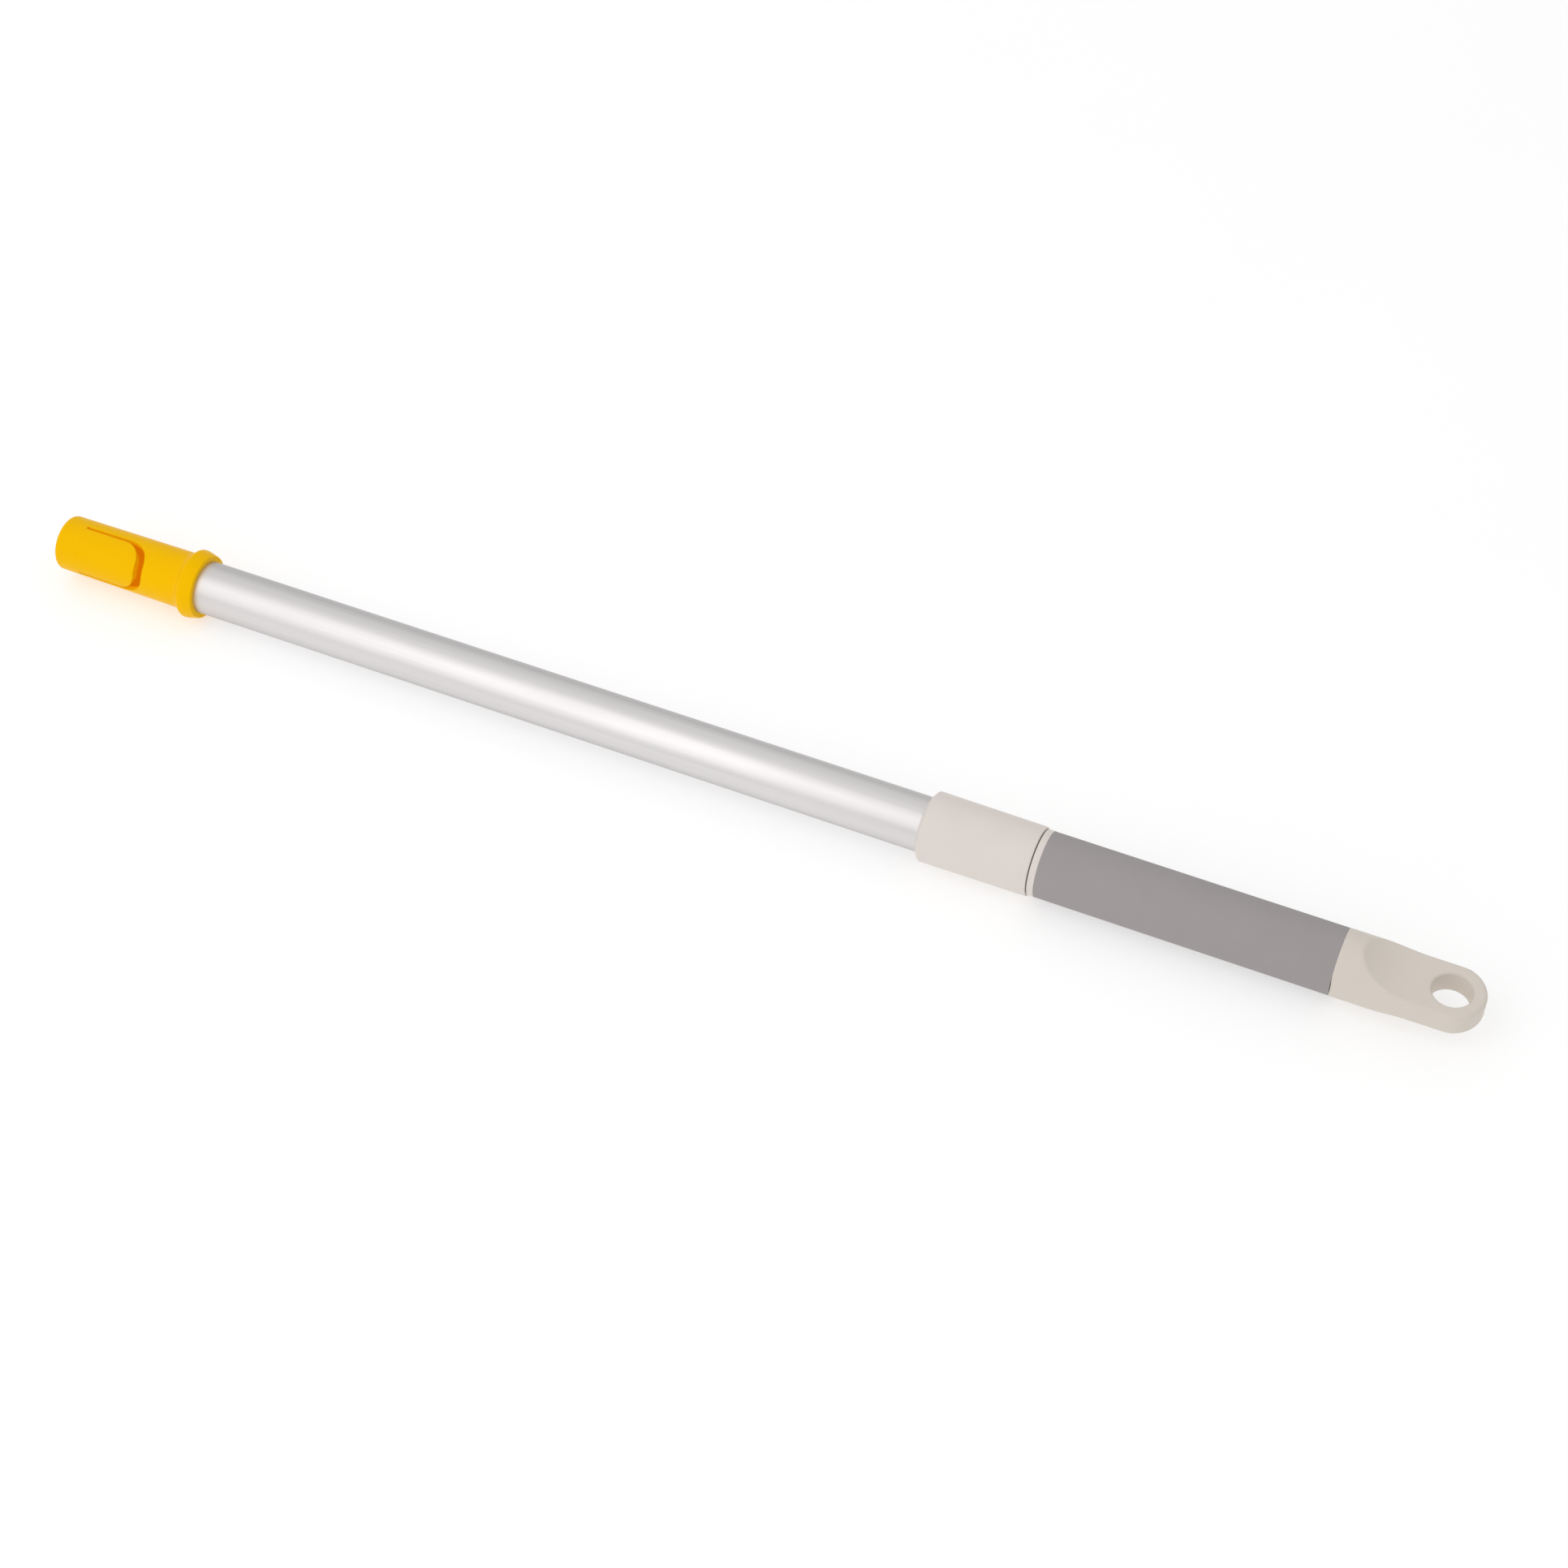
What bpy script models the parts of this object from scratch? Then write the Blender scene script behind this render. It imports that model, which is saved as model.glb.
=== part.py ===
"""Telescopic window-cleaning pole, closed.

The pole lies along X on the plane z = 0, with the connector's tip at -X and the hang hole at +X.
The outer tube carries the click-fit connector and the twist lock. The inner tube carries the handle.
Sizes along the pole are stations: distances from the connector's tip.
"""

import math

import bmesh
import bpy
from mathutils import Matrix, Vector

MM = 0.001

# Driving dimensions
LENGTH = 686.7 * MM
GAP = 0.3 * MM
FACETS = 48
PIN_FACETS = 16

# Outer tube
TUBE_R = 12.5 * MM
TUBE_BORE_R = 11.5 * MM
TUBE_START = 69.0 * MM
TUBE_END = 466.0 * MM

# Inner tube
INNER_R = 10.0 * MM
INNER_BORE_R = 9.1 * MM

# Connector: a plug with a closed tip, a flange and a spigot inside the tube
PLUG_TIP_R = 13.0 * MM
PLUG_ROOT_R = 13.5 * MM
TIP_ROUND = 1.8 * MM
TIP_WALL = 3.0 * MM
PLUG_BORE_R = 11.0 * MM
PLUG_BORE_END = 60.0 * MM
SPIGOT_R = TUBE_BORE_R - GAP
SPIGOT_BORE_R = 8.8 * MM
SPIGOT_END = 105.0 * MM
SPIGOT_CHAMFER = 1.0 * MM
FLANGE_START = 66.0 * MM
FLANGE_RAMP = 3.1 * MM
FLANGE_CROWN_END = 70.2 * MM
FLANGE_END = 75.6 * MM
FLANGE_R = 16.6 * MM
FLANGE_BACK_R = 15.0 * MM
FLANGE_EDGE = 0.4 * MM

# Latch tongue: the sprung part of the plug's wall, rooted towards the tip
LATCH_ANGLE = math.radians(144.0)
TONGUE_ROOT = 12.0 * MM
TONGUE_END = 43.4 * MM
TONGUE_HALF_ANGLE = math.radians(54.9)
TONGUE_CORNER = 10.0 * MM
TONGUE_LIP = 3.5 * MM
TONGUE_LIP_R = 9.0 * MM
SLOT_END = 47.7 * MM
SLOT_HALF_ANGLE = math.radians(60.9)
SLOT_CORNER = 11.5 * MM
CORNER_STEPS = 6
SLOT_INNER_R = 4.0 * MM
SLOT_OUTER_R = 32.0 * MM
TONGUE_HINGE_R = 9.5 * MM

# Twist lock
COLLAR_START = 437.85 * MM
COLLAR_END = 489.5 * MM
COLLAR_R_TIP = 16.05 * MM
COLLAR_R_HANDLE = 15.7 * MM
COLLAR_CHAMFER = 1.85 * MM
COLLAR_CHAMFER_DEPTH = 2.75 * MM
COLLAR_EDGE = 0.5 * MM
COLLAR_LIP_BORE_R = TUBE_R + GAP
COLLAR_LIP = 3.5 * MM
COLLAR_BORE_R = 14.2 * MM
BUSH_START = 443.0 * MM
BUSH_END = 481.5 * MM
BUSH_R = COLLAR_BORE_R - GAP
BUSH_LIP_END = 469.0 * MM
BUSH_LIP_R = 10.5 * MM
COLLET_START = 471.0 * MM
COLLET_TAPER_END = 481.0 * MM
COLLET_RIM_START = 482.9 * MM
COLLET_END = 484.8 * MM
COLLET_SMALL_R = 11.3 * MM
COLLET_LARGE_R = 12.7 * MM
COLLET_RIM_R = 13.6 * MM
COLLET_BORE_R = INNER_R + 0.25 * MM
COLLET_SLIT = 1.2 * MM
COLLET_SLITS = 2
CONE_CLEARANCE = 0.35 * MM
END_RING_BORE_R = 10.4 * MM

# Telescope: plug, glide ring and guide bush
PLUG_HEAD_START = 105.6 * MM
PLUG_HEAD_FLANGE = 2.0 * MM
GROOVE_LENGTH = 7.0 * MM
PLUG_HEAD_R = 11.1 * MM
GROOVE_R = 9.0 * MM
PLUG_SHANK = 17.0 * MM
PLUG_SHANK_R = INNER_BORE_R - GAP
PLUG_HEAD_END = PLUG_HEAD_START + GROOVE_LENGTH + 2.0 * PLUG_HEAD_FLANGE
INNER_START = PLUG_HEAD_END + GAP
INNER_END = 624.2 * MM
GLIDE_R = 11.3 * MM
GLIDE_SPLIT = 1.5 * MM
TRAVEL = 312.0 * MM
GUIDE_START = PLUG_HEAD_END + TRAVEL + 0.4 * MM
GUIDE_BORE_R = INNER_R + GAP

# Handle
RING_START = 489.9 * MM
RING_END = 493.0 * MM
RING_R = 15.0 * MM
RING_EDGE = 0.3 * MM
CORE_R = 13.1 * MM
CORE_BORE_R = INNER_R + GAP
GRIP_R = 14.9 * MM
GRIP_BORE_R = CORE_R + GAP
GRIP_EDGE = 0.4 * MM
CAP_START = 624.5 * MM
CAP_R = 15.0 * MM
CAP_EDGE = 0.4 * MM
CAP_SPIGOT_START = 598.0 * MM
CAP_SPIGOT_R = INNER_BORE_R - GAP

# End cap's paddle
PADDLE_HALF_THICKNESS = 5.8 * MM
SCOOP_R = 40.0 * MM
SCOOP_END = 658.7 * MM
SCOOP_ARC = math.radians(51.0)
SCOOP_STEPS = 8
PADDLE_TAPER_START = 638.7 * MM
PADDLE_TAPER_HALF_WIDTH = 15.2 * MM
PADDLE_END_R = 14.9 * MM
PADDLE_END_STEPS = 24
HOLE_STATION = LENGTH - 14.5 * MM
HOLE_R = 8.65 * MM
HOLE_FACETS = 32
CUT_MARGIN = 6.0 * MM

# Pins: station, direction about the axis from +Y towards +Z, and the radii where each starts and ends
DOWN = math.radians(-90.0)
FRONT = math.radians(180.0)
BACK = math.radians(0.0)
CONNECTOR_PIN_STATION = 90.0 * MM
CONNECTOR_PIN_R = 1.7 * MM
CONNECTOR_PIN_HEAD_R = 3.0 * MM
CONNECTOR_PIN_HEAD = 0.8 * MM
BUSH_PIN_STATION = 452.0 * MM
BUSH_PIN_R = 1.2 * MM
PLUG_PIN_STATION = 126.0 * MM
PLUG_PIN_R = 1.2 * MM
PLUG_PIN_INNER = 5.0 * MM
CORE_PIN_STATION = 506.0 * MM
CORE_PIN_R = 1.6 * MM
CAP_PIN_STATION = 611.0 * MM
CAP_PIN_R = 1.6 * MM
CAP_PIN_INNER = 4.0 * MM

FACET_SHRINK = math.cos(math.pi / FACETS)
AXIS_Z = FLANGE_R * FACET_SHRINK
SHARP_ANGLE = math.radians(35.0)
MERGE = 0.00001

YELLOW = (0.896, 0.502, 0.002)
ALUMINIUM = (0.72, 0.72, 0.73)
OFF_WHITE = (0.70, 0.65, 0.60)
GREY = (0.31, 0.29, 0.29)
DARK_PLASTIC = (0.05, 0.05, 0.055)
NATURAL_PLASTIC = (0.62, 0.60, 0.54)
STEEL = (0.50, 0.50, 0.52)


def clear_scene():
    for obj in list(bpy.data.objects):
        bpy.data.objects.remove(obj, do_unlink=True)


def new_collection(name):
    collection = bpy.data.collections.new(name)
    bpy.context.scene.collection.children.link(collection)
    return collection


def material(name, colour, roughness, metallic=0.0):
    made = bpy.data.materials.new(name)
    made.use_nodes = True
    shader = made.node_tree.nodes["Principled BSDF"]
    shader.inputs["Base Color"].default_value = (*colour, 1.0)
    shader.inputs["Roughness"].default_value = roughness
    shader.inputs["Metallic"].default_value = metallic
    return made


def on_axis(station):
    """The world point on the pole's axis at a station."""
    return (station - LENGTH / 2.0, 0.0, AXIS_Z)


def arc(centre, radius, first, last, steps):
    """Points along an arc in a profile's or an outline's plane, both ends included."""
    angles = [first + (last - first) * i / steps for i in range(steps + 1)]
    return [(centre[0] + radius * math.cos(a), centre[1] + radius * math.sin(a)) for a in angles]


def add_object(name, mesh, collection):
    obj = bpy.data.objects.new(name, mesh)
    collection.objects.link(obj)
    return obj


def mesh_from_bmesh(name, bm):
    bmesh.ops.recalc_face_normals(bm, faces=bm.faces)
    mesh = bpy.data.meshes.new(name)
    bm.to_mesh(mesh)
    bm.free()
    return mesh


def turned_about_x(name, profile, facets, collection):
    """A solid turned about the object's own X from (along, radius) points.

    The profile's outer side runs from high to low along. A profile that starts and ends off the
    axis is a closed loop. The first facet is centred on -Z, so the solid can stand on it.
    """
    half_step = math.pi / facets
    points = [(x, r * math.sin(half_step), -r * math.cos(half_step)) for x, r in profile]
    edges = [(i, i + 1) for i in range(len(points) - 1)]
    if profile[0][1] > 0.0:
        edges.append((len(points) - 1, 0))
    mesh = bpy.data.meshes.new(name)
    mesh.from_pydata(points, edges, [])
    obj = add_object(name, mesh, collection)
    screw = obj.modifiers.new("turn", "SCREW")
    screw.axis = "X"
    screw.angle = 2.0 * math.pi
    screw.steps = facets
    screw.render_steps = facets
    screw.use_smooth_shade = True
    screw.use_merge_vertices = True
    screw.merge_threshold = MERGE
    return obj


def turned(name, profile, finish):
    """A part turned about the pole's axis from (station, radius) points."""
    start = min(station for station, _ in profile)
    local = [(station - start, radius) for station, radius in profile]
    obj = turned_about_x(name, local, FACETS, PARTS)
    obj.location = on_axis(start)
    obj.data.materials.append(finish)
    return obj


def radial_rod(name, station, direction, profile, collection, facets=PIN_FACETS):
    """A rod that stands out from the pole's axis, from (distance from the axis, radius) points."""
    obj = turned_about_x(name, profile, facets, collection)
    obj.location = on_axis(station)
    obj.rotation_euler = (0.0, -direction, math.pi / 2.0)
    return obj


def make_cutter(obj):
    obj.hide_render = True
    obj.display_type = "WIRE"
    return obj


def boolean(target, tool, operation="DIFFERENCE"):
    cut = target.modifiers.new(operation.lower(), "BOOLEAN")
    cut.operation = operation
    cut.solver = "EXACT"
    cut.object = tool


def pin(name, station, direction, inner, outer, radius, targets, finish):
    """A plain cross pin, with a hole for it in each target."""
    profile = [(outer, 0.0), (outer, radius), (inner, radius), (inner, 0.0)]
    obj = radial_rod(name, station, direction, profile, PARTS)
    obj.data.materials.append(finish)
    pin_hole(name, station, direction, inner, outer, radius, targets)


def pin_hole(name, station, direction, inner, outer, radius, targets):
    low = inner - GAP
    high = outer + CUT_MARGIN
    hole = [(high, 0.0), (high, radius + GAP), (low, radius + GAP), (low, 0.0)]
    cutter = make_cutter(radial_rod(name + "_hole", station, direction, hole, CUTTERS))
    for target in targets:
        boolean(target, cutter)


def box_cutter(name, low_station, high_station, centre_y, centre_z, size_y, size_z, turn=0.0):
    """A box along the pole, centred off the axis by centre_y and centre_z, turned about the axis."""
    bm = bmesh.new()
    bmesh.ops.create_cube(bm, size=1.0)
    bmesh.ops.scale(bm, vec=(high_station - low_station, size_y, size_z), verts=bm.verts)
    bmesh.ops.translate(bm, vec=(0.0, centre_y, centre_z), verts=bm.verts)
    obj = add_object(name, mesh_from_bmesh(name, bm), CUTTERS)
    obj.location = on_axis((low_station + high_station) / 2.0)
    obj.rotation_euler = (turn, 0.0, 0.0)
    return make_cutter(obj)


def prism(name, outline, to_point, sweep):
    """A cutter from a closed outline, mapped to points by to_point and swept along a vector."""
    bm = bmesh.new()
    face = bm.faces.new([bm.verts.new(to_point(*point)) for point in outline])
    swept = bmesh.ops.extrude_face_region(bm, geom=[face])
    moved = [item for item in swept["geom"] if isinstance(item, bmesh.types.BMVert)]
    bmesh.ops.translate(bm, vec=sweep, verts=moved)
    obj = add_object(name, mesh_from_bmesh(name, bm), CUTTERS)
    obj.location = on_axis(0.0)
    return make_cutter(obj)


def latch_block(name, start, end, half_angle, corner):
    """The latch's outline on the plug, as a block whose walls all point at the pole's axis."""
    corner_angle = corner / PLUG_ROOT_R
    quarter = [(i / CORNER_STEPS) * math.pi / 2.0 for i in range(CORNER_STEPS + 1)]
    rising = [
        (end - corner + corner * math.sin(a), half_angle - corner_angle + corner_angle * math.cos(a))
        for a in quarter
    ]
    falling = [(station, -angle) for station, angle in reversed(rising)]
    outline = [(start, -half_angle), (start, half_angle)] + rising + falling
    bm = bmesh.new()
    ring = [bm.verts.new((station, *polar(SLOT_INNER_R, angle))) for station, angle in outline]
    swept = bmesh.ops.extrude_face_region(bm, geom=[bm.faces.new(ring)])
    for item in swept["geom"]:
        if isinstance(item, bmesh.types.BMVert):
            item.co.yz = item.co.yz * (SLOT_OUTER_R / SLOT_INNER_R)
    obj = add_object(name, mesh_from_bmesh(name, bm), CUTTERS)
    obj.location = on_axis(0.0)
    return make_cutter(obj)


def polar(radius, angle):
    """Y and Z of a point at an angle from the middle of the latch."""
    return (radius * math.cos(LATCH_ANGLE + angle), radius * math.sin(LATCH_ANGLE + angle))


def plug_radius(station):
    """The plug's outer radius, which grows slightly from the tip to the flange."""
    share = (station - TIP_ROUND) / (FLANGE_START - TIP_ROUND)
    return PLUG_TIP_R + (PLUG_ROOT_R - PLUG_TIP_R) * share


def make_connector(finish):
    spigot = [
        (TIP_WALL, 0.0),
        (TIP_WALL, PLUG_BORE_R),
        (PLUG_BORE_END, PLUG_BORE_R),
        (PLUG_BORE_END + PLUG_BORE_R - SPIGOT_BORE_R, SPIGOT_BORE_R),
        (SPIGOT_END, SPIGOT_BORE_R),
        (SPIGOT_END, SPIGOT_R - SPIGOT_CHAMFER),
        (SPIGOT_END - SPIGOT_CHAMFER, SPIGOT_R),
        (TUBE_START - GAP, SPIGOT_R),
        (TUBE_START - GAP, TUBE_R + GAP),
    ]
    flange = [
        (FLANGE_END, TUBE_R + GAP),
        (FLANGE_END, FLANGE_BACK_R - FLANGE_EDGE),
        (FLANGE_END - FLANGE_EDGE, FLANGE_BACK_R),
        (FLANGE_CROWN_END, FLANGE_R),
        (FLANGE_START + FLANGE_RAMP, FLANGE_R),
        (FLANGE_START, PLUG_ROOT_R),
    ]
    tip_centre = (TIP_ROUND, PLUG_TIP_R - TIP_ROUND)
    tip = arc(tip_centre, TIP_ROUND, math.pi / 2.0, math.pi, CORNER_STEPS) + [(0.0, 0.0)]
    body = turned("connector_body", spigot + flange + tip, finish)
    slot = latch_block("latch_slot", TONGUE_ROOT, SLOT_END, SLOT_HALF_ANGLE, SLOT_CORNER)
    boolean(body, slot)
    return body


def make_tongue(finish):
    far_end = TONGUE_END + CUT_MARGIN
    lip_start = TONGUE_END - TONGUE_LIP
    profile = [
        (0.0, PLUG_BORE_R),
        (lip_start - TONGUE_LIP, PLUG_BORE_R),
        (lip_start, TONGUE_LIP_R),
        (far_end, TONGUE_LIP_R),
        (far_end, plug_radius(far_end)),
        (0.0, plug_radius(0.0)),
    ]
    tongue = turned("connector_tongue", profile, finish)
    outline = latch_block(
        "latch_outline", TONGUE_ROOT + GAP, TONGUE_END, TONGUE_HALF_ANGLE, TONGUE_CORNER
    )
    boolean(tongue, outline, "INTERSECT")
    return tongue


def make_tube(name, start, end, bore, radius, finish):
    profile = [(end, bore), (end, radius), (start, radius), (start, bore)]
    return turned(name, profile, finish)


def make_collar(finish):
    profile = [
        (COLLAR_START + COLLAR_LIP, COLLAR_LIP_BORE_R),
        (COLLAR_START + COLLAR_LIP, COLLAR_BORE_R),
        (COLLAR_END, COLLAR_BORE_R),
        (COLLAR_END, COLLAR_R_HANDLE - COLLAR_EDGE),
        (COLLAR_END - COLLAR_EDGE, COLLAR_R_HANDLE),
        (COLLAR_START + COLLAR_CHAMFER, COLLAR_R_TIP),
        (COLLAR_START, COLLAR_R_TIP - COLLAR_CHAMFER_DEPTH),
        (COLLAR_START, COLLAR_LIP_BORE_R),
    ]
    return turned("lock_collar", profile, finish)


def cone_radius(station):
    """The collet's outer radius along its taper."""
    share = (station - COLLET_START) / (COLLET_TAPER_END - COLLET_START)
    return COLLET_SMALL_R + (COLLET_LARGE_R - COLLET_SMALL_R) * share


def make_lock_bush(finish):
    profile = [
        (BUSH_END, cone_radius(BUSH_END) + CONE_CLEARANCE),
        (BUSH_END, BUSH_R),
        (BUSH_START, BUSH_R),
        (BUSH_START, TUBE_R + GAP),
        (TUBE_END + GAP, TUBE_R + GAP),
        (TUBE_END + GAP, BUSH_LIP_R),
        (BUSH_LIP_END, BUSH_LIP_R),
        (BUSH_LIP_END, cone_radius(BUSH_LIP_END) + CONE_CLEARANCE),
    ]
    return turned("lock_bush", profile, finish)


def make_collet(finish):
    profile = [
        (COLLET_END, COLLET_BORE_R),
        (COLLET_END, COLLET_RIM_R),
        (COLLET_RIM_START, COLLET_RIM_R),
        (COLLET_RIM_START, COLLET_LARGE_R),
        (COLLET_TAPER_END, COLLET_LARGE_R),
        (COLLET_START, COLLET_SMALL_R),
        (COLLET_START, COLLET_BORE_R),
    ]
    collet = turned("clamp_collet", profile, finish)
    across = 3.0 * COLLET_RIM_R
    for i in range(COLLET_SLITS):
        slit = box_cutter(
            f"collet_slit_{i}",
            COLLET_START - CUT_MARGIN,
            COLLET_TAPER_END,
            0.0,
            0.0,
            COLLET_SLIT,
            across,
            turn=math.pi * (i + 0.5) / COLLET_SLITS,
        )
        boolean(collet, slit)
    return collet


def make_end_ring(finish):
    start = COLLET_END + GAP
    return make_tube("collar_end_ring", start, COLLAR_END, END_RING_BORE_R, BUSH_R, finish)


def make_tube_plug(finish):
    groove_start = PLUG_HEAD_START + PLUG_HEAD_FLANGE
    groove_end = groove_start + GROOVE_LENGTH
    shank_end = PLUG_HEAD_END + PLUG_SHANK
    profile = [
        (shank_end, 0.0),
        (shank_end, PLUG_SHANK_R),
        (PLUG_HEAD_END, PLUG_SHANK_R),
        (PLUG_HEAD_END, PLUG_HEAD_R),
        (groove_end, PLUG_HEAD_R),
        (groove_end, GROOVE_R),
        (groove_start, GROOVE_R),
        (groove_start, PLUG_HEAD_R),
        (PLUG_HEAD_START, PLUG_HEAD_R),
        (PLUG_HEAD_START, 0.0),
    ]
    return turned("tube_plug", profile, finish)


def make_glide_ring(finish):
    start = PLUG_HEAD_START + PLUG_HEAD_FLANGE + GAP
    end = start + GROOVE_LENGTH - 2.0 * GAP
    ring = make_tube("glide_ring", start, end, GROOVE_R + GAP, GLIDE_R, finish)
    split = box_cutter(
        "glide_split",
        start - CUT_MARGIN,
        end + CUT_MARGIN,
        0.0,
        GLIDE_R,
        GLIDE_SPLIT,
        GLIDE_R,
    )
    boolean(ring, split)
    return ring


def make_handle_core(finish):
    profile = [
        (INNER_END, CORE_BORE_R),
        (INNER_END, CORE_R),
        (RING_END, CORE_R),
        (RING_END, RING_R - RING_EDGE),
        (RING_END - RING_EDGE, RING_R),
        (RING_START + RING_EDGE, RING_R),
        (RING_START, RING_R - RING_EDGE),
        (RING_START, CORE_BORE_R),
    ]
    return turned("handle_core", profile, finish)


def make_grip(finish):
    start = RING_END + GAP
    profile = [
        (INNER_END, GRIP_BORE_R),
        (INNER_END, GRIP_R - GRIP_EDGE),
        (INNER_END - GRIP_EDGE, GRIP_R),
        (start + GRIP_EDGE, GRIP_R),
        (start, GRIP_R - GRIP_EDGE),
        (start, GRIP_BORE_R),
    ]
    return turned("grip_sleeve", profile, finish)


def scoop_cutter(name, side):
    """The hollow above (side 1) or below (side -1) the paddle: an arc that runs out into a flat."""
    beyond = LENGTH + CUT_MARGIN
    centre = (SCOOP_END, PADDLE_HALF_THICKNESS + SCOOP_R)
    down = -math.pi / 2.0
    curve = arc(centre, SCOOP_R, down - SCOOP_ARC, down, SCOOP_STEPS)
    top = curve[0][1]
    outline = curve + [(beyond, PADDLE_HALF_THICKNESS), (beyond, top)]
    half_width = CAP_R + CUT_MARGIN
    return prism(
        name,
        outline,
        lambda station, height: (station, -half_width, side * height),
        (0.0, 2.0 * half_width, 0.0),
    )


def paddle_outline():
    """The paddle seen from above: straight sides that taper slightly into a half-round end."""
    centre = (LENGTH - PADDLE_END_R, 0.0)
    end = arc(centre, PADDLE_END_R, math.pi / 2.0, -math.pi / 2.0, PADDLE_END_STEPS)
    start = CAP_SPIGOT_START - CUT_MARGIN
    wide = CAP_R + CUT_MARGIN
    near = PADDLE_TAPER_START
    upper = [(start, wide), (near - CUT_MARGIN, wide), (near, PADDLE_TAPER_HALF_WIDTH)]
    lower = [(station, -half) for station, half in reversed(upper)]
    height = CAP_R + CUT_MARGIN
    return prism(
        "paddle_outline",
        upper + end + lower,
        lambda station, half: (station, half, -height),
        (0.0, 0.0, 2.0 * height),
    )


def make_end_cap(finish):
    profile = [
        (LENGTH + CUT_MARGIN, 0.0),
        (LENGTH + CUT_MARGIN, CAP_R),
        (CAP_START + CAP_EDGE, CAP_R),
        (CAP_START, CAP_R - CAP_EDGE),
        (CAP_START, CAP_SPIGOT_R),
        (CAP_SPIGOT_START, CAP_SPIGOT_R),
        (CAP_SPIGOT_START, 0.0),
    ]
    cap = turned("end_cap", profile, finish)
    boolean(cap, scoop_cutter("scoop_top", 1.0))
    boolean(cap, scoop_cutter("scoop_bottom", -1.0))
    boolean(cap, paddle_outline(), "INTERSECT")
    bore = [(CAP_R, 0.0), (CAP_R, HOLE_R), (-CAP_R, HOLE_R), (-CAP_R, 0.0)]
    up = math.pi / 2.0
    hole = radial_rod("hang_hole", HOLE_STATION, up, bore, CUTTERS, HOLE_FACETS)
    boolean(cap, make_cutter(hole))
    return cap


def make_connector_pin(connector, tube, finish):
    """A rivet with a low head on the underside of the tube, through the connector's spigot."""
    inner = SPIGOT_BORE_R
    head_start = TUBE_R + GAP / 2.0
    head_end = head_start + CONNECTOR_PIN_HEAD
    profile = [
        (head_end, 0.0),
        (head_end, CONNECTOR_PIN_HEAD_R - CONNECTOR_PIN_HEAD),
        (head_start, CONNECTOR_PIN_HEAD_R),
        (head_start, CONNECTOR_PIN_R),
        (inner, CONNECTOR_PIN_R),
        (inner, 0.0),
    ]
    rivet = radial_rod("connector_pin", CONNECTOR_PIN_STATION, DOWN, profile, PARTS)
    rivet.data.materials.append(finish)
    pin_hole(
        "connector_pin", CONNECTOR_PIN_STATION, DOWN, inner, TUBE_R, CONNECTOR_PIN_R,
        [connector, tube],
    )


def shade(obj):
    """Smooth shading with sharp creases, for the cut and turned meshes alike."""
    depsgraph = bpy.context.evaluated_depsgraph_get()
    mesh = bpy.data.meshes.new_from_object(obj.evaluated_get(depsgraph))
    mesh.name = obj.name
    mesh.shade_smooth()
    mesh.set_sharp_from_angle(angle=SHARP_ANGLE)
    obj.modifiers.clear()
    obj.data = mesh


def set_origin(obj, point):
    """Moves the object's origin to (station, Y, Z) from the pole's axis, and leaves its shape in place."""
    station, y, z = point
    origin = Vector(on_axis(station)) + Vector((0.0, y, z))
    obj.data.transform(Matrix.Translation(obj.location - origin))
    obj.location = origin


clear_scene()
PARTS = new_collection("window_cleaning_pole")
CUTTERS = new_collection("cutters")


def main():
    yellow = material("yellow_plastic", YELLOW, 0.35)
    aluminium = material("satin_aluminium", ALUMINIUM, 0.32, 1.0)
    off_white = material("off_white_plastic", OFF_WHITE, 0.45)
    grey = material("grey_soft_grip", GREY, 0.75)
    dark = material("dark_plastic", DARK_PLASTIC, 0.5)
    natural = material("natural_plastic", NATURAL_PLASTIC, 0.4)
    steel = material("steel_pins", STEEL, 0.3, 1.0)

    connector = make_connector(yellow)
    tongue = make_tongue(yellow)
    outer = make_tube("outer_tube", TUBE_START, TUBE_END, TUBE_BORE_R, TUBE_R, aluminium)
    lock_bush = make_lock_bush(dark)
    make_collar(off_white)
    make_end_ring(dark)
    make_collet(natural)
    make_tube("guide_bush", GUIDE_START, TUBE_END, GUIDE_BORE_R, SPIGOT_R, natural)
    plug = make_tube_plug(dark)
    make_glide_ring(natural)
    inner = make_tube("inner_tube", INNER_START, INNER_END, INNER_BORE_R, INNER_R, aluminium)
    core = make_handle_core(off_white)
    make_grip(grey)
    cap = make_end_cap(off_white)

    make_connector_pin(connector, outer, steel)
    for name, direction in (("bush_pin_front", FRONT), ("bush_pin_back", BACK)):
        pin(name, BUSH_PIN_STATION, direction, TUBE_BORE_R, BUSH_R, BUSH_PIN_R,
            [lock_bush, outer], steel)
    pin("plug_pin", PLUG_PIN_STATION, DOWN, PLUG_PIN_INNER, INNER_R, PLUG_PIN_R,
        [plug, inner], steel)
    pin("core_pin", CORE_PIN_STATION, BACK, INNER_BORE_R, CORE_R, CORE_PIN_R,
        [core, inner], steel)
    pin("cap_pin", CAP_PIN_STATION, FRONT, CAP_PIN_INNER, CORE_R, CAP_PIN_R,
        [core, inner, cap], steel)

    for obj in list(PARTS.objects):
        shade(obj)
    set_origin(tongue, (TONGUE_ROOT + GAP, *polar(TONGUE_HINGE_R, 0.0)))


main()
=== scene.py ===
"""Looks of the telescopic window-cleaning pole: fine surfaces, materials, floor, light and camera.

Sizes are in metres in the row frame: +X along the pole from the connector to the hang hole.
"""

import math

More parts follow.
